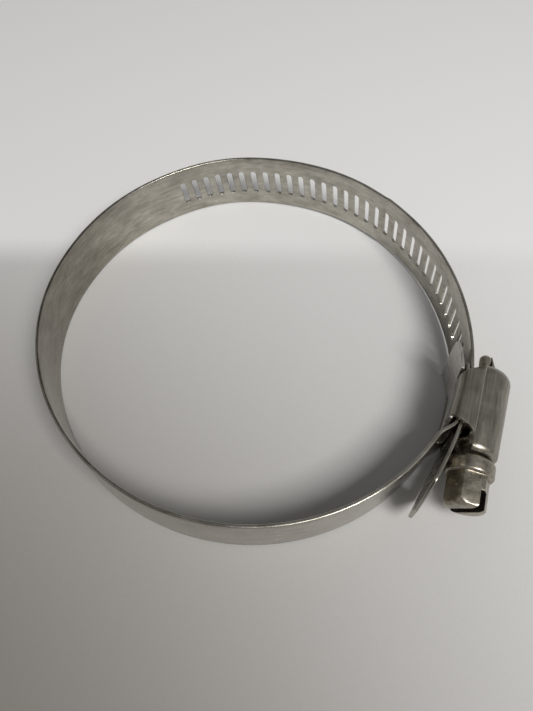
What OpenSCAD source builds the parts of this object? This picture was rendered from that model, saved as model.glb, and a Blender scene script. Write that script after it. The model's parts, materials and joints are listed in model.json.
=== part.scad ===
// Worm-drive hose clamp: a slotted steel band pulled through a housing by a captive screw.
// The hose axis is Z, the housing sits on +X, and the screw runs along Y with its head at -Y.

/* [Band] */
// Width of the band along the hose
band_w = 12.7; // [12:0.1:13]
// Thickness of the band
band_t = 0.6; // [0.5:0.05:0.65]
// Radius of the plain part of the ring at mid thickness
ring_r = 38.53; // [38.4:0.01:38.6]
// Radius of the slotted run through the housing at mid thickness
run_r = 44.7; // [44.6:0.05:44.8]
// Angle of the tail tip on the slotted run
tail_a = -29; // [-30:0.5:-28]
// Width left at the blunt tail tip
tail_tip = 4.4; // [3:0.2:6]

/* [Slots] */
// Distance from one slot to the next along the band
slot_pitch = 2.64; // [2.62:0.01:2.66]
// Length of a slot
slot_l = 5.8; // [5:0.1:6.4]
// Width of a slot
slot_w = 1.2; // [1.15:0.05:1.3]
// Lean of a slot, the same as the lead of the screw
slot_lean = 7.5; // [6.5:0.5:9]

/* [Screw] */
// Radius over the thread
thread_r = 3.5; // [3.45:0.05:3.6]
// Radius of the core under the thread
core_r = 2.4; // [2.2:0.05:2.5]
// Radius of the round collar behind the head
collar_r = 4.0; // [3.9:0.05:4.3]
// Width of the hex head across its flats
hex_af = 6.35; // [6.3:0.01:6.4]
// Length of the hex head
hex_l = 5.6; // [5:0.1:6.4]
// Width of the driver slot across the head
driver_w = 1.6; // [1.2:0.1:2]
// Depth of the driver slot
driver_d = 3.1; // [2:0.1:3.4]
// Turn of the driver slot about the screw, up from level
driver_turn = 42; // [35:1:50]
// Turn of the hex head about the screw
hex_turn = 55; // [52:1:58]
// Radius of the pilot tip
pilot_r = 1.15; // [1:0.05:1.25]

/* [Housing] */
// Outer radius of the barrel over the screw
barrel_r = 4.85; // [4.8:0.05:5]
// Wall of the housing sheet
wall = 0.75; // [0.6:0.05:0.8]
// Length of the barrel
barrel_l = 18.2; // [17.8:0.1:18.6]
// Radius of the domed pilot end
dome_r = 2.6; // [2:0.1:2.8]
// Radius of the curled mouth at the head end
mouth_r = 1.2; // [1:0.1:1.3]
// Length of the feet that wrap the saddle
foot_l = 8.6; // [8:0.2:9]

/* [Saddle] */
// Thickness of the saddle plate
saddle_t = 0.7; // [0.6:0.05:0.75]
// Reach of the tongue past the middle of the slotted run
tongue_y = 8.6; // [7:0.1:9]
// How far the end of the tongue leans in towards the hose
tongue_in = 1.4; // [0.8:0.1:1.6]

/* [Hidden] */
$fn = 96;
run_x = -5;
run_y = -4;
zc = band_w / 2;
slot_z = zc - 0.25;
bite = 0.5;
screw_x = run_x + run_r + band_t / 2 - bite + thread_r;
barrel_y1 = run_y + 8.2;
barrel_y0 = barrel_y1 - barrel_l;
pitch_run = slot_pitch / run_r * 180 / PI;
pitch_ring = slot_pitch / ring_r * 180 / PI;
slots_run_first = -7;
slots_run_last = 17;
join_a = 59;
join_x = run_x + run_r * cos(join_a);
join_y = run_y + run_r * sin(join_a);
join_phi = atan2(join_y, join_x);
slot_links = 2;
slots_per_link = 10;
slots_on_ring = 18;
plain_links = 5;
slot_link_a = slots_per_link * pitch_ring;
ring_start = -30;
plain_span = ring_start - (join_phi - 360) - slot_links * slot_link_a;
plain_link_a = plain_span / plain_links;
first_gap = (slots_run_last + 1) * pitch_run - join_a;
first_slot_a = first_gap * run_r / ring_r;
link_gap = 0.12;
tail_taper = 40;
steel = [0.70, 0.69, 0.66];
dark = [0.58, 0.57, 0.55];
big = 100;

// where link i starts and ends on the ring, going clockwise from the fixed end
function link_from(i) = i < plain_links
    ? ring_start - i * plain_link_a
    : ring_start - plain_span - (i - plain_links) * slot_link_a;
function link_to(i) = link_from(i + 1);

// a curved strip of band about the Z axis
module strip(r, t, z0, z1, a0, a1) {
    rotate([0, 0, a0])
        rotate_extrude(angle = a1 - a0)
            translate([r - t / 2, z0])
                square([t, z1 - z0]);
}

// one slanted slot with round ends, cut radially through a strip at angle a
module slot_cut(r, a) {
    rotate([0, 0, a])
        translate([r, 0, slot_z])
            rotate([-slot_lean, 0, 0]) {
                cube([4, slot_w, slot_l - slot_w], center = true);
                for (s = [-1, 1])
                    translate([0, 0, s * (slot_l - slot_w) / 2])
                        rotate([0, 90, 0])
                            cylinder(r = slot_w / 2, h = 4, center = true, $fn = 24);
            }
}

// points along an arc about c
function arc_pts(c, r, a0, a1, n) = [for (i = [0:n])
    let (a = a0 + (a1 - a0) * i / n) [c[0] + r * cos(a), c[1] + r * sin(a)]];

// unit normal of a line of points at point i
function side(p, i) = let (
    q = p[min(i + 1, len(p) - 1)] - p[max(i - 1, 0)],
    n = norm(q)) [q[1] / n, -q[0] / n];

// a strip standing on its edge that follows a line of points
module standing(p, t, z0, z1) {
    n = len(p) - 1;
    translate([0, 0, z0])
        linear_extrude(height = z1 - z0)
            polygon(concat(
                [for (i = [0:n]) p[i] + side(p, i) * t / 2],
                [for (i = [n:-1:0]) p[i] - side(p, i) * t / 2]));
}

module on_run() {
    translate([run_x, run_y, 0]) children();
}

// the free end of the band, with the slots the screw pulls on
module band_slotted_end() {
    gap_a = link_gap / run_r * 180 / PI;
    color(steel)
        on_run()
            difference() {
                strip(run_r, band_t, 0, band_w, tail_a, join_a - gap_a);
                for (k = [slots_run_first:slots_run_last])
                    slot_cut(run_r, k * pitch_run);
                // the tail narrows to a blunt tip
                for (s = [-1, 1])
                    rotate([0, 0, tail_a])
                        translate([run_r, 0, zc + s * tail_tip / 2])
                            rotate([s * tail_taper, 0, 0])
                                translate([0, 0, s * 5])
                                    cube([6, 24, 10], center = true);
            }
}

// one short length of the plain or slotted ring
module band_link(i) {
    gap_a = link_gap / ring_r * 180 / PI;
    a1 = link_from(i) - gap_a;
    a0 = link_to(i);
    color(steel)
        difference() {
            strip(ring_r, band_t, 0, band_w, a0, a1);
            if (i >= plain_links - 1)
                for (k = [0:slots_on_ring - 1]) {
                    a = join_phi - 360 + first_slot_a + k * pitch_ring;
                    if (a > a0 && a < a1) slot_cut(ring_r, a);
                }
        }
}

module band_link_01() { band_link(0); }
module band_link_02() { band_link(1); }
module band_link_03() { band_link(2); }
module band_link_04() { band_link(3); }
module band_link_05() { band_link(4); }
module band_link_06() { band_link(5); }
module band_link_07() { band_link(6); }

layer_gap = 0.4;
tuck_r = run_r - band_t - layer_gap;
tuck_a0 = -9.2;
tuck_a1 = 6;
step_phi = -20.5;

// the other end of the band, stepped out into the housing under the slotted run
module band_fixed_end() {
    path = concat(
        arc_pts([0, 0], ring_r, ring_start, step_phi, 6),
        arc_pts([run_x, run_y], tuck_r, tuck_a0, tuck_a1, 8));
    color(steel)
        standing(path, band_t, 0, band_w);
}

floor_r = tuck_r - band_t / 2 - saddle_t / 2 - 0.05;
floor_a0 = -8.2;
floor_a1 = 4.5;
foot_z = zc + 0.2;
lip_reach = 3.8;
foot_y = run_y - 1.3 - foot_l / 2;

// the curved base plate, waisted for the feet, with the tongue that bridges the band gap
module saddle() {
    path = concat(
        arc_pts([run_x, run_y], floor_r, floor_a0, floor_a1, 8),
        [[run_x + floor_r - tongue_in, run_y + tongue_y]]);
    notch_h = lip_reach + 0.3;
    color(dark)
        difference() {
            standing(path, saddle_t, 0, band_w);
            for (s = [-1, 1])
                translate([run_x + floor_r, foot_y + foot_l / 2, zc + s * (foot_z + wall - notch_h / 2)])
                    cube([8, foot_l + 1, notch_h], center = true);
        }
}

// the barrel, its domed pilot end and its curled mouth
module barrel() {
    inner = barrel_r - wall;
    translate([screw_x, barrel_y0, zc])
        rotate([-90, 0, 0])
            difference() {
                rotate_extrude()
                    difference() {
                        union() {
                            translate([0, mouth_r])
                                square([barrel_r, barrel_l - dome_r - mouth_r]);
                            square([barrel_r - mouth_r, barrel_l - 1]);
                            translate([barrel_r - mouth_r, mouth_r])
                                circle(r = mouth_r);
                            square([barrel_r - dome_r, barrel_l]);
                            translate([barrel_r - dome_r, barrel_l - dome_r])
                                circle(r = dome_r);
                        }
                        translate([-4, -1])
                            square([4, barrel_l + 2]);
                    }
                translate([0, 0, wall + 0.1])
                    cylinder(r = inner, h = barrel_l - dome_r - wall);
                translate([0, 0, barrel_l - dome_r])
                    cylinder(r1 = inner, r2 = inner - 1.2, h = dome_r - wall);
                translate([0, 0, -1])
                    cylinder(r = core_r + 0.3, h = 4);
                translate([0, 0, barrel_l - 3])
                    cylinder(r = pilot_r + 0.35, h = 4);
            }
}

shoulder_x = run_x + run_r + band_t / 2 + 1.4;
lip_r = floor_r + saddle_t / 2 - wall / 2;

// the stamped housing: barrel, side walls and the feet that wrap the saddle
module housing() {
    side_z = barrel_r - wall + 0.1;
    lip_a0 = asin((foot_y + 0.2 - run_y) / lip_r);
    lip_a1 = asin((foot_y + foot_l - 0.2 - run_y) / lip_r);
    color(dark)
        difference() {
            union() {
                difference() {
                    barrel();
                    translate([shoulder_x - 20, barrel_y0 - 1, zc - 10])
                        cube([20, barrel_l + 2, 20]);
                }
                for (s = [-1, 1]) {
                    translate([shoulder_x, foot_y, zc + s * (side_z + wall / 2) - wall / 2])
                        cube([screw_x - shoulder_x, foot_l, wall]);
                    translate([shoulder_x, foot_y, zc + s * (side_z + foot_z + wall) / 2
                        - (foot_z + wall - side_z) / 2])
                        cube([wall, foot_l, foot_z + wall - side_z]);
                    difference() {
                        translate([run_x + lip_r - 1, foot_y, zc + s * (foot_z + wall / 2) - wall / 2])
                            cube([shoulder_x + wall - run_x - lip_r + 1, foot_l, wall]);
                        translate([run_x, run_y, zc + s * foot_z - 5])
                            cylinder(r = lip_r + 0.1, h = 10);
                    }
                    on_run()
                        strip(lip_r, wall, zc + s * (foot_z + wall - lip_reach / 2) - lip_reach / 2,
                            zc + s * (foot_z + wall - lip_reach / 2) + lip_reach / 2,
                            lip_a0, lip_a1);
                }
            }
            // arched cut-outs where both band ends leave at the head side
            for (s = [-1, 1])
                translate([screw_x - 3.9, barrel_y0 + 0.8, zc + s * 8])
                    cylinder(r = 3.5, h = 8.5, center = true);
        }
}

thread_n = 40;
thread_turns = 5.7;
thread_steps = floor(thread_n * thread_turns);
thread_y0 = run_y - slot_pitch * 3.2;
crest_w = 0.5;
root_w = 1.1;
sink = 0.1;
// keeps the seam of the core off the corners of the thread
seam_turn = 2.3;

// crest radius, run out at both ends of the thread
function crest(i) = thread_r - (thread_r - core_r) *
    max(0, 1 - i / 8, 1 - (thread_steps - i) / 8) * 0.9;
function helix_a(i) = 180 + (thread_y0 - run_y) / slot_pitch * 360 + i * 360 / thread_n;
function helix_pt(i, r, dy) = [r * cos(helix_a(i)), r * sin(helix_a(i)),
    thread_y0 + i * slot_pitch / thread_n + dy];
function ring_pts(i) = [
    helix_pt(i, core_r - sink, -root_w / 2),
    helix_pt(i, crest(i), -crest_w / 2),
    helix_pt(i, crest(i), crest_w / 2),
    helix_pt(i, core_r - sink, root_w / 2)];

module thread() {
    pts = [for (i = [0:thread_steps]) each ring_pts(i)];
    sides = [for (i = [0:thread_steps - 1]) for (j = [0:3])
        for (h = [0, 1])
            let (a = 4 * i + j, b = 4 * i + (j + 1) % 4)
            h == 0 ? [a, b, b + 4] : [a, b + 4, a + 4]];
    last = 4 * thread_steps;
    caps = [[2, 1, 0], [3, 2, 0],
        [last, last + 1, last + 2], [last, last + 2, last + 3]];
    polyhedron(points = pts, faces = concat(sides, caps));
}

head_y = barrel_y0 - 3.3;
collar_y = barrel_y0 - 0.25;
head_end = head_y - hex_l;

// the captive screw: slotted hex head, collar, neck, thread and pilot tip
module screw() {
    tip_y = barrel_y1 + 2.2;
    core_y1 = barrel_y1 - wall - 0.3;
    color(steel)
        translate([screw_x, 0, zc])
            rotate([-90, 0, 0])
                difference() {
                    union() {
                        thread();
                        rotate([0, 0, seam_turn])
                            rotate_extrude()
                                polygon([[0, head_end], [hex_af / 2 - 0.1, head_end],
                                    [hex_af / 2 - 0.1, head_y], [collar_r, head_y],
                                    [collar_r, collar_y], [core_r, collar_y],
                                    [core_r, core_y1], [pilot_r, core_y1],
                                    [pilot_r, tip_y - 0.8], [pilot_r * 0.6, tip_y],
                                    [0, tip_y]]);
                        intersection() {
                            translate([0, 0, head_end + 0.02])
                                rotate([0, 0, -hex_turn])
                                    cylinder(d = hex_af / cos(30), h = hex_l - 0.02, $fn = 6);
                            translate([0, 0, head_end])
                                cylinder(r1 = hex_af / 2 - 0.2,
                                    r2 = hex_af / 2 - 0.2 + hex_l + 0.2,
                                    h = hex_l + 0.2);
                        }
                    }
                    translate([0, 0, head_end + driver_d / 2 - 1])
                        rotate([0, 0, -driver_turn])
                            cube([14, driver_w, driver_d + 2], center = true);
                }
}

band_fixed_end();
band_link_01();
band_link_02();
band_link_03();
band_link_04();
band_link_05();
band_link_06();
band_link_07();
band_slotted_end();
housing();
saddle();
screw();
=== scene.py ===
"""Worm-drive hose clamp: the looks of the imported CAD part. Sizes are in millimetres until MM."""

import json
import math

import bpy
import numpy as np
from mathutils import Matrix, Vector

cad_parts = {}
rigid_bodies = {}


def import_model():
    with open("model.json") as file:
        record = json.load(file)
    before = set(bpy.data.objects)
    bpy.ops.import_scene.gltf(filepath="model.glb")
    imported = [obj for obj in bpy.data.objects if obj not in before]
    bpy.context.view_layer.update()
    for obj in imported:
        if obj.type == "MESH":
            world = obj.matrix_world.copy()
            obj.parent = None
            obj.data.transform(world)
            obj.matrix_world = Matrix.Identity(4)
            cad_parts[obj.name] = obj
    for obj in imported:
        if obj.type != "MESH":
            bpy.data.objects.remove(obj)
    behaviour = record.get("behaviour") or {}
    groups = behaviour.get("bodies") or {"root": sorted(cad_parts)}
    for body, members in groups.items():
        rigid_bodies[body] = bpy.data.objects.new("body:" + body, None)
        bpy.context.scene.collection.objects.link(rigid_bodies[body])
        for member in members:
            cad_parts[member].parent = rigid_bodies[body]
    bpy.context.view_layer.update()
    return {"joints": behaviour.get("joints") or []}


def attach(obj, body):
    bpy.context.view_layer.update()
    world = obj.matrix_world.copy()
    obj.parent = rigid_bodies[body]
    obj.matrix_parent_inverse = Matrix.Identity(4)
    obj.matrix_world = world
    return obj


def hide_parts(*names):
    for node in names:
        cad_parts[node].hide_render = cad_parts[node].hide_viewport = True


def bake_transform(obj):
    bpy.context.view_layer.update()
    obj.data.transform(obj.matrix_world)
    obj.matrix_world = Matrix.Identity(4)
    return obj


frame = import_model()

MM = 0.001

# ---------------------------------------------------------------- sizes of the band, as in the CAD
BAND_W = 12.7
BAND_T = 0.6
RING_R = 38.53
RUN_C = np.array([-5.0, -4.0])
RUN_R = 44.7
JOIN_A = 59.0
STEP_A = -20.5
PITCH = 2.64
SLOT_L = 5.8
SLOT_W = 1.2
SLOT_LEAN = 7.5
SLOT_Z = 6.1
SLOTS_RING = 18
SLOTS_RUN = 25
ZC = BAND_W / 2
SCREW_X = 43.0

# ---------------------------------------------------------------- the line the band follows

# the end inside the housing lies 0.3 further out than the CAD's
TUCK_R = 44.0
TUCK_A = (6.0, -9.2)
# the run ends at this angle, and the tail goes on in short steps that bend a little inwards
RUN_END_A = -10.0
TAIL_HEADING = -100.5
TAIL_STEPS = 30
TAIL_STEP = 0.5
TAIL_BEND = 0.3
# where the hand-bent ring stands out from a true circle: (how far, azimuth, spread)
SWELL = ((0.4, 117, 15), (-0.2, 173, 16), (-0.28, 60, 12))


def polar(centre, r, degrees):
    a = math.radians(degrees)
    return np.array([centre[0] + r * math.cos(a), centre[1] + r * math.sin(a)])


def arc(centre, r, a0, a1):
    n = max(2, int(abs(a1 - a0) / 0.5))
    return [polar(centre, r, a0 + (a1 - a0) * i / n) for i in range(n + 1)]


def out_of_round(p):
    """The hand-bent ring is not a true circle: how far it stands out at p."""
    az = math.degrees(math.atan2(p[1], p[0])) % 360
    return sum(h * math.exp(-(((az - a) / w) ** 2)) for h, a, w in SWELL)


def band_line():
    """Points along the middle of the strip, clockwise from the end inside the housing to the tail."""
    join = polar(RUN_C, RUN_R, JOIN_A)
    join_phi = math.degrees(math.atan2(join[1], join[0]))
    ring = arc((0, 0), RING_R, STEP_A, join_phi - 360)
    run = arc(RUN_C, RUN_R, JOIN_A, RUN_END_A)
    tail = [run[-1]]
    heading = math.radians(TAIL_HEADING)
    for _ in range(TAIL_STEPS):
        heading -= math.radians(TAIL_BEND)
        tail.append(tail[-1] + TAIL_STEP * np.array([math.cos(heading), math.sin(heading)]))
    points = arc(RUN_C, TUCK_R, *TUCK_A) + ring + run + tail[1:]
    points = [p + p / np.linalg.norm(p) * out_of_round(p) for p in points]
    return np.array(points), join


def resample(points, step):
    length = np.concatenate([[0], np.cumsum(np.linalg.norm(np.diff(points, axis=0), axis=1))])
    keep = np.concatenate([[True], np.diff(length) > 1e-9])
    points, length = points[keep], length[keep]
    s = np.arange(0, length[-1], step)
    return np.stack([np.interp(s, length, points[:, k]) for k in (0, 1)], 1)


def soften(points, reach):
    """Rounds the bends over reach points each way."""
    kernel = np.hanning(2 * reach + 3)[1:-1]
    kernel /= kernel.sum()
    ends = (np.repeat(points[:1], reach, 0), np.repeat(points[-1:], reach, 0))
    padded = np.concatenate([ends[0], points, ends[1]])
    return np.stack([np.convolve(padded[:, k], kernel, "valid") for k in (0, 1)], 1)


LINE_STEP = 0.2
BEND_REACH = 5
line_points, join_point = band_line()
LINE = soften(resample(line_points, LINE_STEP), BEND_REACH)
LINE_S = np.concatenate([[0], np.cumsum(np.linalg.norm(np.diff(LINE, axis=0), axis=1))])
LINE_T = np.gradient(LINE, axis=0)
LINE_T /= np.linalg.norm(LINE_T, axis=1)[:, None]
LINE_N = np.stack([-LINE_T[:, 1], LINE_T[:, 0]], 1)
LINE_END = float(LINE_S[-1])


def s_near(point):
    """The length along the band at the place nearest to a point."""
    return float(LINE_S[np.argmin(np.linalg.norm(LINE - np.array(point[:2]), axis=1))])


def on_band(s, z, n):
    """From the flat strip (length, height, depth) to the bent one."""
    x = np.interp(s, LINE_S, LINE[:, 0]) + n * np.interp(s, LINE_S, LINE_N[:, 0])
    y = np.interp(s, LINE_S, LINE[:, 1]) + n * np.interp(s, LINE_S, LINE_N[:, 1])
    return (x, y, z)


# ---------------------------------------------------------------- mesh helpers


def mesh_object(name, verts, faces, material, sharp=35.0):
    mesh = bpy.data.meshes.new(name)
    mesh.from_pydata([tuple(c * MM for c in v) for v in verts], [], faces)
    mesh.validate()
    mesh.shade_smooth()
    mesh.set_sharp_from_angle(angle=math.radians(sharp))
    mesh.materials.append(material)
    obj = bpy.data.objects.new(name, mesh)
    bpy.context.scene.collection.objects.link(obj)
    return obj


def baked(obj, sharp=35.0):
    """Applies every modifier of an object to its mesh."""
    graph = bpy.context.evaluated_depsgraph_get()
    mesh = bpy.data.meshes.new_from_object(obj.evaluated_get(graph))
    obj.modifiers.clear()
    obj.data = mesh
    mesh.shade_smooth()
    mesh.set_sharp_from_angle(angle=math.radians(sharp))
    return obj


def grid_faces(rows, cols, start=0, close=False):
    """Quads over a grid of rows x cols points, numbered row by row."""
    faces = []
    last = cols if close else cols - 1
    for i in range(rows - 1):
        for j in range(last):
            a = start + i * cols + j
            b = start + i * cols + (j + 1) % cols
            faces.append((a, b, b + cols, a + cols))
    return faces


def sheet_object(name, grids, material, thickness, round_edge=0.1):
    """Open grids of points given a thickness behind them, with their cut edges rounded off."""
    verts, faces = [], []
    for grid in grids:
        faces += grid_faces(len(grid), len(grid[0]), len(verts))
        verts += [p for row in grid for p in row]
    obj = mesh_object(name, verts, faces, material)
    solid = obj.modifiers.new("thickness", "SOLIDIFY")
    solid.thickness = thickness * MM
    solid.offset = -1
    solid.use_even_offset = True
    edge = obj.modifiers.new("edge", "BEVEL")
    edge.width = round_edge * MM
    edge.segments = 2
    edge.limit_method = "ANGLE"
    edge.angle_limit = math.radians(50)
    return baked(obj, 40)


# ---------------------------------------------------------------- materials


class Nodes:
    """A short way to write a node tree."""

    def __init__(self, material):
        material.use_nodes = True
        self.tree = material.node_tree
        self.tree.nodes.clear()

    def add(self, kind, values=None, links=None, **settings):
        node = self.tree.nodes.new(kind)
        for key, value in settings.items():
            setattr(node, key, value)
        for key, value in (values or {}).items():
            node.inputs[key].default_value = value
        for key, source in (links or {}).items():
            self.tree.links.new(source, node.inputs[key])
        return node

    def ramp(self, source, stops):
        node = self.tree.nodes.new("ShaderNodeValToRGB")
        ramp = node.color_ramp
        while len(ramp.elements) < len(stops):
            ramp.elements.new(0.5)
        for element, (place, colour) in zip(ramp.elements, stops):
            element.position = place
            element.color = (*colour, 1) if len(colour) == 3 else colour
        self.tree.links.new(source, node.inputs["Fac"])
        return node.outputs["Color"]

    def scaled(self, vector, scale, offset=(0, 0, 0)):
        node = self.add(
            "ShaderNodeMapping", {"Scale": scale, "Location": offset}, {"Vector": vector}
        )
        return node.outputs["Vector"]

    def noise(self, vector, scale, detail=4.0, rough=0.55):
        node = self.add(
            "ShaderNodeTexNoise",
            {"Scale": scale, "Detail": detail, "Roughness": rough},
            {"Vector": vector},
        )
        return node.outputs["Fac"]

    def math(self, kind, a, b=None):
        node = self.tree.nodes.new("ShaderNodeMath")
        node.operation = kind
        for socket, value in zip(node.inputs, (a, b)):
            if value is None:
                continue
            if isinstance(value, (int, float)):
                socket.default_value = value
            else:
                self.tree.links.new(value, socket)
        return node.outputs["Value"]

    def spread(self, source, low, high):
        """Maps 0.3-0.7, where noise mostly lies, to low-high."""
        node = self.add(
            "ShaderNodeMapRange",
            {"From Min": 0.3, "From Max": 0.7, "To Min": low, "To Max": high},
            {"Value": source},
        )
        return node.outputs["Result"]

    def mix(self, kind, amount, a, b):
        node = self.tree.nodes.new("ShaderNodeMix")
        node.data_type = "RGBA"
        node.blend_type = kind
        for name, value in (("Factor", amount), ("A", a), ("B", b)):
            socket = [i for i in node.inputs if i.name == name and i.enabled][0]
            if isinstance(value, (int, float)):
                socket.default_value = value
            elif isinstance(value, tuple):
                socket.default_value = (*value, 1)
            else:
                self.tree.links.new(value, socket)
        return [o for o in node.outputs if o.enabled][0]


def steel(name, vector_of, grain, dark, light, rough, bump, blotch=0.35, painted_reflection=None):
    """Brushed sheet steel. grain stretches the pattern along the rolling direction.

    The last argument is a stretch (from, to) of the first coordinate that is painted darker: a painted dark
    reflection.
    """
    material = bpy.data.materials.new(name)
    n = Nodes(material)
    vector = vector_of(n)
    streaks = n.noise(n.scaled(vector, grain), 1.0, 5.0, 0.6)
    fine = n.noise(n.scaled(vector, tuple(3.4 * g for g in grain), (31, 7, 3)), 1.0, 3.0)
    clouds = n.noise(n.scaled(vector, (0.16, 0.3, 0.3), (5, 9, 2)), 1.0, 5.0, 0.65)
    tone = n.math("ADD", n.math("MULTIPLY", streaks, 1 - blotch), n.math("MULTIPLY", clouds, blotch))
    colour = n.ramp(tone, ((0.34, dark), (0.66, light)))
    # painted reflection: a stretch of the band is darkened in its base colour
    if painted_reflection:
        along = n.add("ShaderNodeSeparateXYZ", links={"Vector": vector}).outputs["X"]
        reflection_mask = None
        for low, high in ((painted_reflection[0] - 12, painted_reflection[0] + 12), (painted_reflection[1] + 16, painted_reflection[1] - 16)):
            edge = n.add(
                "ShaderNodeMapRange",
                {"From Min": low, "From Max": high},
                {"Value": along},
                interpolation_type="SMOOTHSTEP",
            ).outputs["Result"]
            reflection_mask = edge if reflection_mask is None else n.math("MULTIPLY", reflection_mask, edge)
        colour = n.mix("MULTIPLY", n.math("MULTIPLY", reflection_mask, 0.8), colour, (0.62, 0.60, 0.57))
    worn = n.math("ADD", n.math("MULTIPLY", fine, 0.5), n.math("MULTIPLY", clouds, 0.5))
    roughness = n.spread(worn, *rough)
    bumped = n.add(
        "ShaderNodeBump",
        {"Strength": bump, "Distance": 0.00003},
        {"Height": n.math("ADD", streaks, n.math("MULTIPLY", fine, 0.7))},
    )
    shader = n.add(
        "ShaderNodeBsdfPrincipled",
        {"Metallic": 1.0},
        {"Base Color": colour, "Roughness": roughness, "Normal": bumped.outputs["Normal"]},
    )
    n.add("ShaderNodeOutputMaterial", links={"Surface": shader.outputs["BSDF"]})
    return material


def laid_flat(n):
    """Coordinates on the flat strip, so the pattern stays on the band as it bends."""
    return n.add("ShaderNodeAttribute", attribute_name="lay").outputs["Vector"]


def in_place(n):
    """Object coordinates in millimetres."""
    source = n.add("ShaderNodeTexCoord").outputs["Object"]
    return n.scaled(source, (1 / MM, 1 / MM, 1 / MM))


# the azimuths on the ring between which the band is darker: a painted dark reflection
PAINTED_REFLECTION_A = (-130.0, -196.0)

band_steel = steel(
    "band_steel",
    laid_flat,
    grain=(0.42, 1.7, 1.7),
    dark=(0.25, 0.235, 0.20),
    light=(0.55, 0.525, 0.465),
    rough=(0.16, 0.3),
    bump=0.25,
    blotch=0.55,
    painted_reflection=[s_near(polar((0, 0), RING_R, a)) for a in PAINTED_REFLECTION_A],
)
housing_steel = steel(
    "housing_steel",
    in_place,
    grain=(2.4, 0.16, 2.4),
    dark=(0.17, 0.155, 0.125),
    light=(0.36, 0.34, 0.295),
    rough=(0.26, 0.42),
    bump=0.4,
)
saddle_steel = steel(
    "saddle_steel",
    in_place,
    grain=(2.0, 0.3, 2.0),
    dark=(0.40, 0.38, 0.35),
    light=(0.70, 0.68, 0.64),
    rough=(0.3, 0.46),
    bump=0.35,
)
# the walls of the driver slot, coloured near-black as painted shade
slot_steel = steel(
    "slot_steel",
    in_place,
    grain=(0.9, 0.9, 0.9),
    dark=(0.015, 0.013, 0.011),
    light=(0.06, 0.053, 0.045),
    rough=(0.4, 0.6),
    bump=0.6,
    blotch=0.5,
)
screw_steel = steel(
    "screw_steel",
    in_place,
    grain=(0.9, 0.9, 0.9),
    dark=(0.15, 0.13, 0.10),
    light=(0.50, 0.46, 0.39),
    rough=(0.2, 0.42),
    bump=0.6,
    blotch=0.5,
)

# ---------------------------------------------------------------- the band

EDGE_R = 0.17
EDGE_SHARES = (0.5, 0.87)
# the stretch of the width that holds the slots, and the points that a slot's cell has along each side
SLOT_ZONE = (2.3, 9.9)
ZONE_ROWS = 10
ZONE_Z = [SLOT_ZONE[0] + (SLOT_ZONE[1] - SLOT_ZONE[0]) * i / ZONE_ROWS for i in range(ZONE_ROWS + 1)]
CELL_COLS = 6
CHAMFER = 0.07
HALF_T = BAND_T / 2
COLUMN = 0.5
# the tail is cut to a blunt tip: how far back the cut starts, the width left at the tip, and the cut's curve
TAIL_CUT = 4.6
TIP_SHARE = 0.36
TIP_CURVE = 0.85


def section_rows():
    """The strip's section as (height, depth): up the outer face, over the top edge, down the inner face."""
    lo, hi = EDGE_R, BAND_W - EDGE_R
    face = [lo, 1.2] + ZONE_Z + [11.2, hi]
    top = [(hi + EDGE_R * u, HALF_T - EDGE_R * (1 - math.cos(math.asin(u)))) for u in EDGE_SHARES]
    rows = [(z, HALF_T) for z in face]
    rows += top + [(BAND_W, HALF_T - EDGE_R), (BAND_W, -HALF_T + EDGE_R)]
    rows += [(z, -n) for z, n in reversed(top)]
    rows += [(z, -HALF_T) for z in reversed(face)]
    rows += [(BAND_W - z, -n) for z, n in top]
    rows += [(0.0, -HALF_T + EDGE_R), (0.0, HALF_T - EDGE_R)]
    rows += [(BAND_W - z, n) for z, n in reversed(top)]
    return rows


def slot_outline(count_side, count_end, grow):
    """The slot as a closed line about its middle: up the left side, over the top, down the right, back."""
    r = SLOT_W / 2 + grow
    h = SLOT_L / 2 - SLOT_W / 2
    points = []
    for i in range(count_side):
        points.append((-r, -h + 2 * h * i / count_side))
    for i in range(count_end):
        a = math.pi - math.pi * i / count_end
        points.append((r * math.cos(a), h + r * math.sin(a)))
    for i in range(count_side):
        points.append((r, h - 2 * h * i / count_side))
    for i in range(count_end):
        a = -math.pi * i / count_end
        points.append((r * math.cos(a), -h + r * math.sin(a)))
    t = math.tan(math.radians(SLOT_LEAN))
    return [(u - v * t, v) for u, v in points]


def tail_width(s):
    """Share of the full width left at s."""
    reach = LINE_END - s
    if reach > TAIL_CUT:
        return 1.0
    return TIP_SHARE + (1 - TIP_SHARE) * (max(reach, 0) / TAIL_CUT) ** TIP_CURVE


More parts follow.
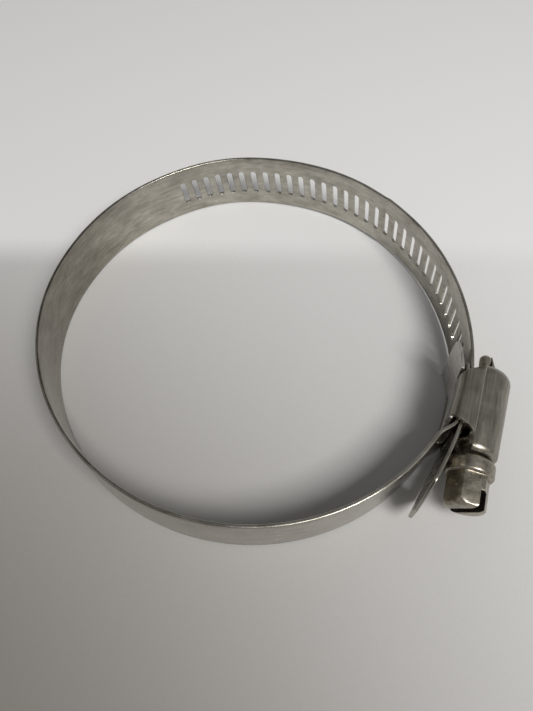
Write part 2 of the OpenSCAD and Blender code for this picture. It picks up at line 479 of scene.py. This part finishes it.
class Strip:
    """Collects the band's faces in flat coordinates (length, height, depth)."""

    def __init__(self):
        self.verts, self.faces, self.index = [], [], {}

    def vert(self, s, z, n):
        key = (round(s, 4), round(z, 4), round(n, 4))
        if key not in self.index:
            self.index[key] = len(self.verts)
            self.verts.append(key)
        return self.index[key]

    def quad(self, *corners):
        ids = [self.vert(*c) for c in corners]
        if len(set(ids)) == len(ids):
            self.faces.append(tuple(ids))

    def column(self, s0, s1, rows, skip=False):
        """One column of the strip. skip leaves out the faces of the slot zone."""
        for (z0, n0), (z1, n1) in zip(rows, rows[1:] + rows[:1]):
            flat = n0 == n1 and abs(n0) == HALF_T
            inside = SLOT_ZONE[0] - 1e-6 <= min(z0, z1) and max(z0, z1) <= SLOT_ZONE[1] + 1e-6
            if skip and flat and inside:
                continue
            self.quad((s0, z0, n0), (s0, z1, n1), (s1, z1, n1), (s1, z0, n0))

    def cell(self, middle, rows):
        """One pitch of the strip with a slot through it."""
        s0, s1 = middle - PITCH / 2, middle + PITCH / 2
        cuts = [s0 + (s1 - s0) * i / CELL_COLS for i in range(CELL_COLS + 1)]
        for a, b in zip(cuts, cuts[1:]):
            self.column(a, b, rows, skip=True)
        z0, z1 = SLOT_ZONE
        frame_line = [(s0, z) for z in ZONE_Z[:-1]] + [(s, z1) for s in cuts[:-1]]
        frame_line += [(s1, z) for z in reversed(ZONE_Z[1:])] + [(s, z0) for s in reversed(cuts[1:])]
        wide = [(middle + u, SLOT_Z + v) for u, v in slot_outline(ZONE_ROWS, CELL_COLS, CHAMFER)]
        hole = [(middle + u, SLOT_Z + v) for u, v in slot_outline(ZONE_ROWS, CELL_COLS, 0.0)]
        between = [tuple(f + (w - f) * 0.6 for f, w in zip(a, b)) for a, b in zip(frame_line, wide)]
        rings = [
            [(p, HALF_T) for p in frame_line],
            [(p, HALF_T) for p in between],
            [(p, HALF_T) for p in wide],
            [(p, HALF_T - CHAMFER) for p in hole],
            [(p, -HALF_T + CHAMFER) for p in hole],
            [(p, -HALF_T) for p in wide],
            [(p, -HALF_T) for p in between],
            [(p, -HALF_T) for p in frame_line],
        ]
        for outer, inner in zip(rings, rings[1:]):
            for k in range(len(outer)):
                m = (k + 1) % len(outer)
                corners = (outer[k], outer[m], inner[m], inner[k])
                self.quad(*((s, z, n) for (s, z), n in corners))


# the first slot past the place where ring and run join, and the solid stretch left at the tail
FIRST_SLOT = s_near(join_point) + 1.148
SOLID_TAIL = 4.8
slots = [FIRST_SLOT + PITCH * m for m in range(-SLOTS_RING, SLOTS_RUN)]
slots = [s for s in slots if s < LINE_END - SOLID_TAIL]

joints = {j["name"]: j for j in frame["joints"]}
flex = sorted(name for name in joints if name.startswith("band_flex_"))
hinge_s = [s_near([c / MM for c in joints[name]["pos_m"]]) for name in flex]


def seam_between(a, b):
    """A cut line halfway between two hinges, moved to the solid strip between two slots."""
    middle = (a + b) / 2
    edges = [s - PITCH / 2 for s in slots] + [slots[-1] + PITCH / 2]
    if middle > slots[0] - PITCH:
        return min(edges, key=lambda e: abs(e - middle))
    return middle


# how far the band goes on bending before the first hinge and past the last one
REACH_BEFORE = 4.0
REACH_AFTER = 9.0
last_seam = hinge_s[-1] + REACH_AFTER
seams = [hinge_s[0] - REACH_BEFORE]
seams += [seam_between(a, b) for a, b in zip(hinge_s, hinge_s[1:])]
seams.append(seam_between(last_seam, last_seam))


def band_columns():
    """The plain columns as (start, end), between the slot cells."""
    marks = [0.0] + seams + [LINE_END]
    start, end = slots[0] - PITCH / 2, slots[-1] + PITCH / 2
    spans = []
    for a, b in zip(marks, marks[1:]):
        if a < start:
            spans.append((a, min(b, start)))
        if b > end:
            spans.append((max(a, end), b))
    columns = []
    for a, b in spans:
        n = max(1, round((b - a) / COLUMN))
        columns += [(a + (b - a) * i / n, a + (b - a) * (i + 1) / n) for i in range(n)]
    return columns


def build_band():
    rows = section_rows()
    strip = Strip()
    for a, b in band_columns():
        strip.column(a, b, rows)
    for s in slots:
        strip.cell(s, rows)
    for s in (0.0, LINE_END):
        ids = [strip.vert(s, z, n) for z, n in rows]
        strip.faces.append(tuple(ids if s else reversed(ids)))
    return strip


strip = build_band()


def bent(v):
    s, z, n = v
    w = tail_width(s)
    return on_band(s, ZC + (z - ZC) * w, n)


BAND_SHARP = 38.0
whole = mesh_object("band_whole", [bent(v) for v in strip.verts], strip.faces, band_steel, BAND_SHARP)
whole_mesh = whole.data
corner_normals = np.zeros(len(whole_mesh.loops) * 3, np.float32)
whole_mesh.corner_normals.foreach_get("vector", corner_normals)
corner_normals = corner_normals.reshape(-1, 3)
coords = [tuple(v.co) for v in whole_mesh.vertices]


def face_middle(face):
    return sum(strip.verts[i][0] for i in face) / len(face)


def band_piece(name, s0, s1):
    """The part of the band between two lengths, with the shading of the whole."""
    picked = [p for p in whole_mesh.polygons if s0 <= face_middle(p.vertices) < s1]
    used = sorted({i for p in picked for i in p.vertices})
    renumber = {old: new for new, old in enumerate(used)}
    mesh = bpy.data.meshes.new(name)
    mesh.from_pydata([coords[i] for i in used], [], [[renumber[i] for i in p.vertices] for p in picked])
    mesh.shade_smooth()
    lay = mesh.attributes.new("lay", "FLOAT_VECTOR", "POINT")
    lay.data.foreach_set("vector", np.array([strip.verts[i] for i in used], np.float32).ravel())
    normals = [tuple(corner_normals[k]) for p in picked for k in p.loop_indices]
    mesh.normals_split_custom_set(normals)
    mesh.materials.append(band_steel)
    obj = bpy.data.objects.new(name, mesh)
    bpy.context.scene.collection.objects.link(obj)
    return obj


marks = [-1.0] + seams + [LINE_END + 1.0]
fixed_end = band_piece("band_tucked_end", marks[0], marks[1])
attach(fixed_end, "housing_body")
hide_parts("band_fixed_end")
for k, name in enumerate(flex):
    parent, child = joints[name]["parent"], joints[name]["child"]
    piece = band_piece(f"band_bend_{k + 1:02d}", marks[k + 1], marks[k + 2])
    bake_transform(piece)
    if child.startswith("band_link"):
        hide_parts(child.replace("_body", ""))
free_end = band_piece("band_free_end", marks[-2], marks[-1])
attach(free_end, "slotted_end_body")
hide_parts("band_slotted_end")
bpy.data.objects.remove(whole)
bpy.data.meshes.remove(whole_mesh)

# ---------------------------------------------------------------- the housing

SHEET = 0.75
# how far the housing is turned and tilted on the band, as slopes
HOUSING_LEAN = 0.034
TILT = 0.05
# the barrel is closed over this angle each way from the outermost line
CREASE = 100.0
# the barrel's radius at the mouth and at the domed end
BARREL_R = (4.5, 4.65)
MOUTH_Y = -14.0
CURL_R = 1.2
DOME_Y = 3.0
DOME_R = 2.2
HOLE_R = 2.75
# the dome is drawn out on one side to a hood over the pilot tip
HOOD_A = 14.0
HOOD_SPREAD = 36.0
HOOD_REACH = 3.7
HOOD_CLOSE = 0.8
PILOT_HOLE_R = 1.55
# the side walls and lips lie on a circle of this radius about the run's centre
LIP_R = 43.0


def settle(x, y, z):
    """The stamped housing sits a little askew on the band."""
    return (x + HOUSING_LEAN * (y - RUN_C[1]) - TILT * (z - ZC), y, z)


def barrel_meridian(theta):
    """(radius, y) from the mouth's inner rim over the barrel to the hole in the domed end."""
    r_mouth, r_dome = BARREL_R
    points = [(HOLE_R, MOUTH_Y + 0.02), (HOLE_R + 0.4, MOUTH_Y)]
    for k in range(9):
        a = math.radians(-90 + 90 * k / 8)
        points.append((r_mouth - CURL_R + CURL_R * math.cos(a), MOUTH_Y + CURL_R + CURL_R * math.sin(a)))
    y0, y1 = MOUTH_Y + CURL_R, DOME_Y - DOME_R
    for k in range(1, 40):
        t = k / 40
        points.append((r_mouth + (r_dome - r_mouth) * t, y0 + (y1 - y0) * t))
    for k in range(13):
        a = math.radians(90 * k / 12)
        points.append((r_dome - DOME_R + DOME_R * math.cos(a), y1 + DOME_R * math.sin(a)))
    hood = math.exp(-(((theta - HOOD_A) / HOOD_SPREAD) ** 2))
    flat_r = r_dome - DOME_R
    for k in range(1, 13):
        t = k / 12
        r = flat_r + (PILOT_HOLE_R - flat_r) * t - HOOD_CLOSE * hood * t
        points.append((r, DOME_Y + 0.1 * t + HOOD_REACH * hood * t**1.25))
    return points


def barrel_grid():
    thetas = np.linspace(CREASE, -CREASE, 61)
    lines = [barrel_meridian(t) for t in thetas]
    grid = []
    for k in range(len(lines[0])):
        row = []
        for theta, line in zip(thetas, lines):
            r, y = line[k]
            a = math.radians(theta)
            row.append(settle(SCREW_X + r * math.cos(a), y, ZC + r * math.sin(a)))
        grid.append(row)
    return grid


def rounded_path(corners, step=0.22, per_corner=6):
    """A line through corners given as (x, h, radius), with each corner rounded."""
    points = [np.array(corners[0][:2], float)]
    for before, here, after in zip(corners, corners[1:], corners[2:]):
        p = np.array(here[:2], float)
        u = np.array(before[:2], float) - p
        v = np.array(after[:2], float) - p
        lu, lv = np.linalg.norm(u), np.linalg.norm(v)
        u, v = u / lu, v / lv
        half = math.acos(max(-1, min(1, float(u @ v)))) / 2
        cut = min(here[2] / math.tan(half), 0.48 * lu, 0.48 * lv)
        for k in range(per_corner + 1):
            t = k / per_corner
            a, b = p + u * cut * (1 - t), p + v * cut * t
            points.append(a * (1 - t) + b * t)
    points.append(np.array(corners[-1][:2], float))
    return resample(np.array(points), step)


# from the barrel's foot out over the shoulder and down to the foot under the band: (x, height, rounding)
SIDE_LINE = rounded_path(
    (
        (42.5, 4.4, 0),
        (42.15, 4.95, 0.4),
        (41.95, 7.3, 0.6),
        (38.05, 7.3, 1.75),
        (37.9, 4.5, 0.6),
        (37.85, 3.4, 0),
    )
)

# where the side wall ends at the mouth and at the pilot end: (x, y)
ARCH_EDGE = ((37.0, -10.2), (38.4, -10.1), (39.3, -10.6), (40.6, -11.2), (41.5, -12.0), (42.6, -13.2))
FRONT_EDGE = ((37.0, -2.3), (38.0, -2.2), (38.9, -1.3), (39.5, -0.75), (41.4, -0.5), (42.4, 0.6))


def lookup(table, x):
    xs, ys = zip(*table)
    return float(np.interp(x, xs, ys))


def side_grid(sign):
    """One side wall. Its low part bows with the band."""
    grid = []
    for x, h in SIDE_LINE:
        y0, y1 = lookup(ARCH_EDGE, x), lookup(FRONT_EDGE, x)
        row = []
        for k in range(41):
            y = y0 + (y1 - y0) * k / 40
            low = max(0.0, min(1.0, (39.5 - x) / 1.5))
            bow = (math.sqrt(LIP_R**2 - (y - RUN_C[1]) ** 2) - LIP_R) * low
            row.append(settle(x + bow, y, ZC + sign * h))
        grid.append(row if sign > 0 else row[::-1])
    return grid


housing = sheet_object(
    "housing_shell", [barrel_grid(), side_grid(1), side_grid(-1)], housing_steel, SHEET
)
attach(housing, "housing_body")
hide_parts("housing")

# ---------------------------------------------------------------- the saddle and its tongue

SADDLE_T = 0.55
# the saddle under the run, from the mouth end to where the tongue begins, and half its width between the feet
SADDLE_Y = (-10.4, -0.5)
WAIST = 3.3
# the tongue's length, and how far it drops: in proportion to the length and to its square
TONGUE_L = 5.4
TONGUE_DROP = (1.0, 0.72)
# the tongue's end is rounded from this y on
ROUND_FROM = 1.0


def saddle_grid():
    """Stations from the mouth end to the tongue's free end, each a line across the width."""
    stations = []
    y0, y1 = SADDLE_Y
    for k in range(34):
        y = y0 + (y1 - y0) * k / 33
        x = RUN_C[0] + math.sqrt(LIP_R**2 - (y - RUN_C[1]) ** 2)
        past_mouth = min(1.0, max(0.0, (y + 10.1) / 0.3))
        before_tongue = min(1.0, max(0.0, (-0.8 - y) / 0.25))
        stations.append((x, y, ZC - (ZC - WAIST) * past_mouth * before_tongue))
    x1 = stations[-1][0]
    for k in range(1, 24):
        t = k / 23
        stations.append((x1 - TONGUE_DROP[0] * t - TONGUE_DROP[1] * t**2, y1 + TONGUE_L * t, ZC))
    grid = []
    for x, y, half in stations:
        t = max(0.0, (y - ROUND_FROM) / (y1 + TONGUE_L - ROUND_FROM))
        row = []
        for m in range(25):
            v = -1 + 2 * m / 24
            round_end = -0.75 * t**3 * abs(v) ** 2.5
            row.append(settle(x, y + round_end, ZC + half * v))
        grid.append(row)
    return grid


saddle = sheet_object("saddle_plate", [saddle_grid()], saddle_steel, SADDLE_T, 0.09)
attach(saddle, "housing_body")
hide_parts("saddle")

# ---------------------------------------------------------------- the screw

CORE_R = 2.4
PILOT_R = 1.08
COLLAR_R = 4.05
# the head: across flats, its two ends, and how far it is turned
HEX_AF = 6.35
HEAD_Y = -17.3
HEAD_END = -22.9
HEX_TURN = 55.0
# the driver slot: width, depth and turn
DRIVER_W = 1.7
DRIVER_D = 3.1
DRIVER_A = 50.0
THREAD_R = 3.5
THREAD_TURNS = 5.7
THREAD_Y0 = RUN_C[1] - PITCH * 3.2
THREAD_STEPS = 40


def about_axis(r, y, degrees):
    a = math.radians(degrees)
    return (SCREW_X + r * math.cos(a), y, ZC + r * math.sin(a))


def core_profile():
    """(radius, y) of the turned parts: collar, neck, core and pilot tip."""
    points = [(0.0, HEAD_Y - 0.2), (2.9, HEAD_Y - 0.2), (3.1, HEAD_Y)]
    for k in range(7):
        a = math.radians(90 * k / 6)
        points.append((COLLAR_R - 0.45 + 0.45 * math.sin(a), HEAD_Y + 0.45 - 0.45 * math.cos(a) + 0.1))
    for k in range(9):
        a = math.radians(90 * k / 8)
        points.append((COLLAR_R - 0.8 + 0.8 * math.cos(a), MOUTH_Y - 1.15 + 0.8 * math.sin(a)))
    points += [(CORE_R, MOUTH_Y - 0.3), (CORE_R, 3.0), (1.1, 3.2), (1.0, 4.4), (PILOT_R, 5.4)]
    for k in range(1, 8):
        a = math.radians(90 * k / 7)
        points.append((PILOT_R * math.cos(a), 5.85 + math.sin(a)))
    return points


def revolved(points, segments):
    verts, faces = [], []
    for r, y in points:
        verts += [about_axis(max(r, 1e-4), y, -360 * k / segments) for k in range(segments)]
    return verts, grid_faces(len(points), segments, 0, True)


def thread_mesh():
    """The thread as a ridge wound round the core, fading in and out at its ends."""
    verts = []
    steps = int(THREAD_STEPS * THREAD_TURNS)
    for i in range(steps + 1):
        fade = max(0, 1 - i / 8, 1 - (steps - i) / 8) * 0.9
        crest = THREAD_R - (THREAD_R - CORE_R) * fade
        turn = 180 + (THREAD_Y0 - RUN_C[1]) / PITCH * 360 + 360 * i / THREAD_STEPS
        y = THREAD_Y0 + PITCH * i / THREAD_STEPS
        outline = ((CORE_R - 0.1, -0.62), (CORE_R + 0.12, -0.5), (crest - 0.1, -0.26), (crest, -0.16))
        outline += tuple((r, -d) for r, d in reversed(outline))
        verts += [about_axis(r, y + d, -turn) for r, d in outline]
    return verts, grid_faces(steps + 1, len(outline))


def hex_head():
    """The hex prism with a rounded chamfer at its end, as rings of points round the axis."""
    per_flat = 8
    flat_r = HEX_AF / 2
    rings = []
    ys = [HEAD_Y + 0.2, HEAD_Y - 0.3] + [HEAD_Y - 0.3 - 4.6 * k / 12 for k in range(1, 13)]
    ys += [HEAD_END + 0.55, HEAD_END + 0.3, HEAD_END + 0.12, HEAD_END + 0.02, HEAD_END]
    for y in ys:
        limit = flat_r - 0.2 + (y - HEAD_END) * 0.75 if y < HEAD_END + 1.5 else 9.0
        ring = []
        for k in range(6 * per_flat):
            a = 60 * k / per_flat + HEX_TURN
            local = math.radians((a - HEX_TURN) % 60 - 30)
            r = flat_r / math.cos(local)
            r = min(r, flat_r / math.cos(math.radians(30)) - 0.08)
            soft = max(0.0, 0.35 - (y - HEAD_END)) ** 2 * 4.5
            ring.append(about_axis(min(r, limit) - soft, y, a))
        rings.append(ring)
    for share in (0.86, 0.7, 0.5, 0.25, 0.001):
        base = rings[len(ys) - 1]
        ring = []
        for x, y, z in base:
            ring.append((SCREW_X + (x - SCREW_X) * share, HEAD_END - 0.02, ZC + (z - ZC) * share))
        rings.append(ring)
    first = [(SCREW_X + (x - SCREW_X) * 0.5, y, ZC + (z - ZC) * 0.5) for x, y, z in rings[0]]
    rings.insert(0, first)
    verts = [p for ring in rings for p in ring]
    return verts, grid_faces(len(rings), 6 * per_flat, 0, True)


def build_screw():
    verts, faces = [], []
    for v, f in (revolved(core_profile(), 72), thread_mesh(), hex_head()):
        base = len(verts)
        verts += v
        faces += [tuple(i + base for i in face) for face in f]
    obj = mesh_object("clamp_screw", verts, faces, screw_steel, 32)
    cutter_mesh = bpy.data.meshes.new("driver_slot")
    w, d = DRIVER_W / 2, DRIVER_D
    corners = [(x, y, z) for x in (-7, 7) for y in (-1.5, d) for z in (-w, w)]
    turn = Matrix.Rotation(math.radians(-DRIVER_A), 3, "Y")
    placed = [turn @ Vector((x, 0, z)) + Vector((SCREW_X, HEAD_END + y, ZC)) for x, y, z in corners]
    quads = [(0, 1, 3, 2), (4, 6, 7, 5), (0, 4, 5, 1), (2, 3, 7, 6), (0, 2, 6, 4), (1, 5, 7, 3)]
    cutter_mesh.from_pydata([p * MM for p in placed], [], quads)
    cutter = bpy.data.objects.new("driver_slot", cutter_mesh)
    bpy.context.scene.collection.objects.link(cutter)
    cut = obj.modifiers.new("driver_slot", "BOOLEAN")
    cut.object = cutter
    cut.operation = "DIFFERENCE"
    cut.solver = "EXACT"
    cut.use_self = True
    bevel = obj.modifiers.new("edge", "BEVEL")
    bevel.width = 0.08 * MM
    bevel.segments = 2
    bevel.limit_method = "ANGLE"
    bevel.angle_limit = math.radians(55)
    baked(obj, 32)
    bpy.data.objects.remove(cutter)
    # painted shade: the faces inside the driver slot get the near-black material
    obj.data.materials.append(slot_steel)
    across = turn @ Vector((0, 0, 1))
    for face in obj.data.polygons:
        p = face.center / MM - Vector((SCREW_X, HEAD_END, ZC))
        if 0.1 < p.y < DRIVER_D + 0.02 and abs(p.dot(across)) < DRIVER_W / 2 + 0.02:
            face.material_index = 1
    return obj


screw = build_screw()
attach(screw, "screw_body")
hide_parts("screw")

# ---------------------------------------------------------------- floor, light and camera

# directions across the paper, and how far away the soft edge of the painted shadow lies; beyond it the paper
# has the far tone, before it the painted shadow's near tone
FLOOR_RIGHT = (0.9551, 0.2963, 0)
FLOOR_AWAY = (-0.2963, 0.9551, 0)
SHADE_LINE = 25.1
FAR_TONE = 0.635
NEAR_TONE = 0.505
# the housing's feet lift that side of the ring: the floor is this much lower at this x
FOOT_DROP = 0.95
FOOT_X = 40.0
FLOOR_SIDE = 700.0
FLOOR_CELLS = 24


def build_floor():
    """Pale paper with a painted shadow: darker on the near side of a soft line, and darkest at the near left.
    """
    material = bpy.data.materials.new("paper")
    n = Nodes(material)
    place = in_place(n)
    right = n.add("ShaderNodeVectorMath", {1: FLOOR_RIGHT}, {0: place}, operation="DOT_PRODUCT")
    away = n.add("ShaderNodeVectorMath", {1: FLOOR_AWAY}, {0: place}, operation="DOT_PRODUCT")
    right = n.math("SUBTRACT", right.outputs["Value"], 2.4)
    away = n.math("SUBTRACT", away.outputs["Value"], SHADE_LINE)
    # painted shadow: the tone falls across the soft line and further towards the near left
    slope = n.math("SUBTRACT", 0.0030, n.math("MULTIPLY", right, 0.000026))
    towards = n.math("MULTIPLY", n.math("MINIMUM", away, 0.0), slope)
    near = n.math("ADD", towards, n.math("MULTIPLY", right, 0.0013))
    near = n.math("ADD", near, NEAR_TONE)
    near = n.add("ShaderNodeMath", {1: 0.13, 2: 0.2}, {0: near}, operation="SMOOTH_MAX").outputs["Value"]
    edge = n.add(
        "ShaderNodeMapRange",
        {"From Min": -6.0, "From Max": 4.0, "To Min": 0.0, "To Max": 1.0},
        {"Value": away},
        interpolation_type="SMOOTHSTEP",
    ).outputs["Result"]
    tone = n.math("ADD", n.math("MULTIPLY", edge, n.math("SUBTRACT", FAR_TONE, near)), near)
    grain = n.spread(n.noise(n.scaled(place, (1.8, 1.8, 1.8)), 1.0, 3.0), 0.985, 1.015)
    tone = n.math("MULTIPLY", tone, grain)
    paper_with_painted_shadow = n.ramp(tone, ((0.1, (0.113, 0.1, 0.086)), (0.63, (0.64, 0.64, 0.64))))
    shader = n.add("ShaderNodeBsdfPrincipled", {"Roughness": 0.75}, {"Base Color": paper_with_painted_shadow})
    n.add("ShaderNodeOutputMaterial", links={"Surface": shader.outputs["BSDF"]})
    fall = FOOT_DROP / (FOOT_X + RING_R)
    verts = []
    for i in range(FLOOR_CELLS + 1):
        for j in range(FLOOR_CELLS + 1):
            x, y = FLOOR_SIDE * (i / FLOOR_CELLS - 0.5), FLOOR_SIDE * (j / FLOOR_CELLS - 0.5)
            verts.append((x, y, -fall * (x + RING_R) - 0.02))
    floor = mesh_object("floor", verts, grid_faces(FLOOR_CELLS + 1, FLOOR_CELLS + 1), material)


build_floor()


def area_light(name, place, target, size, power, colour=(1, 1, 1)):
    light = bpy.data.lights.new(name, "AREA")
    light.shape = "RECTANGLE"
    light.size, light.size_y = (s * MM for s in size)
    light.energy = power
    light.color = colour
    obj = bpy.data.objects.new(name, light)
    obj.location = [c * MM for c in place]
    aim = Vector(target) - Vector(place)
    obj.rotation_euler = aim.to_track_quat("-Z", "Y").to_euler()
    bpy.context.scene.collection.objects.link(obj)
    return obj


area_light("key", (290, -215, 560), (0, 0, 0), (260, 260), 4.5, (1.0, 0.985, 0.96))


def dark_card(name, place, target, size):
    """A dark card that only reflections see."""
    material = bpy.data.materials.new(name)
    n = Nodes(material)
    weave = n.noise(n.scaled(in_place(n), (0.05, 0.05, 0.05)), 1.0, 3.0)
    colour = n.ramp(weave, ((0.3, (0.02, 0.018, 0.016)), (0.7, (0.045, 0.04, 0.035))))
    shader = n.add("ShaderNodeBsdfPrincipled", {"Roughness": 0.9}, {"Base Color": colour})
    n.add("ShaderNodeOutputMaterial", links={"Surface": shader.outputs["BSDF"]})
    w, h = (c / 2 for c in size)
    verts = [(x * w, y * h, 0) for y in (-1, 0, 1) for x in (-1, 0, 1)]
    obj = mesh_object(name, verts, grid_faces(3, 3), material)
    obj.location = [c * MM for c in place]
    obj.rotation_euler = (Vector(target) - Vector(place)).to_track_quat("-Z", "Y").to_euler()
    obj.visible_camera = False
    obj.visible_diffuse = False
    obj.visible_shadow = False


dark_card("card_near", (27, -78, 146), (10, 0, 0), (150, 90))
dark_card("card_behind", (-60, -330, 420), (10, 0, 0), (420, 420))
dark_card("card_above", (-160, 205, 405), (40, -5, 6), (250, 250))


def build_world():
    world = bpy.data.worlds.new("studio")
    bpy.context.scene.world = world
    world.use_nodes = True
    tree = world.node_tree
    tree.nodes.clear()
    place = tree.nodes.new("ShaderNodeTexCoord")
    split = tree.nodes.new("ShaderNodeSeparateXYZ")
    ramp = tree.nodes.new("ShaderNodeValToRGB")
    ramp.color_ramp.elements[0].color = (0.46, 0.46, 0.455, 1)
    ramp.color_ramp.elements[1].color = (0.25, 0.25, 0.25, 1)
    background = tree.nodes.new("ShaderNodeBackground")
    background.inputs["Strength"].default_value = 0.9
    tree.links.new(place.outputs["Generated"], split.inputs["Vector"])
    tree.links.new(split.outputs["Z"], ramp.inputs["Fac"])
    tree.links.new(ramp.outputs["Color"], background.inputs["Color"])
    output = tree.nodes.new("ShaderNodeOutputWorld")
    tree.links.new(background.outputs["Background"], output.inputs["Surface"])


build_world()

CAMERA_PLACE = (19.856, -54.727, 100.287)
CAMERA_AXES = ((0.9551, -0.2574, 0.1468), (0.2963, 0.8353, -0.4631), (-0.0034, 0.4858, 0.8741))
SENSOR = 36.0
LENS = 39.09


def build_camera():
    data = bpy.data.cameras.new("camera")
    data.sensor_fit = "HORIZONTAL"
    data.sensor_width = SENSOR
    data.lens = LENS
    data.clip_start = 0.005
    data.clip_end = 10
    obj = bpy.data.objects.new("camera", data)
    rows = [list(r) + [p * MM] for r, p in zip(CAMERA_AXES, CAMERA_PLACE)]
    obj.matrix_world = Matrix(rows + [[0, 0, 0, 1]])
    bpy.context.scene.collection.objects.link(obj)
    bpy.context.scene.camera = obj
    bpy.context.scene.view_settings.view_transform = "Standard"


build_camera()
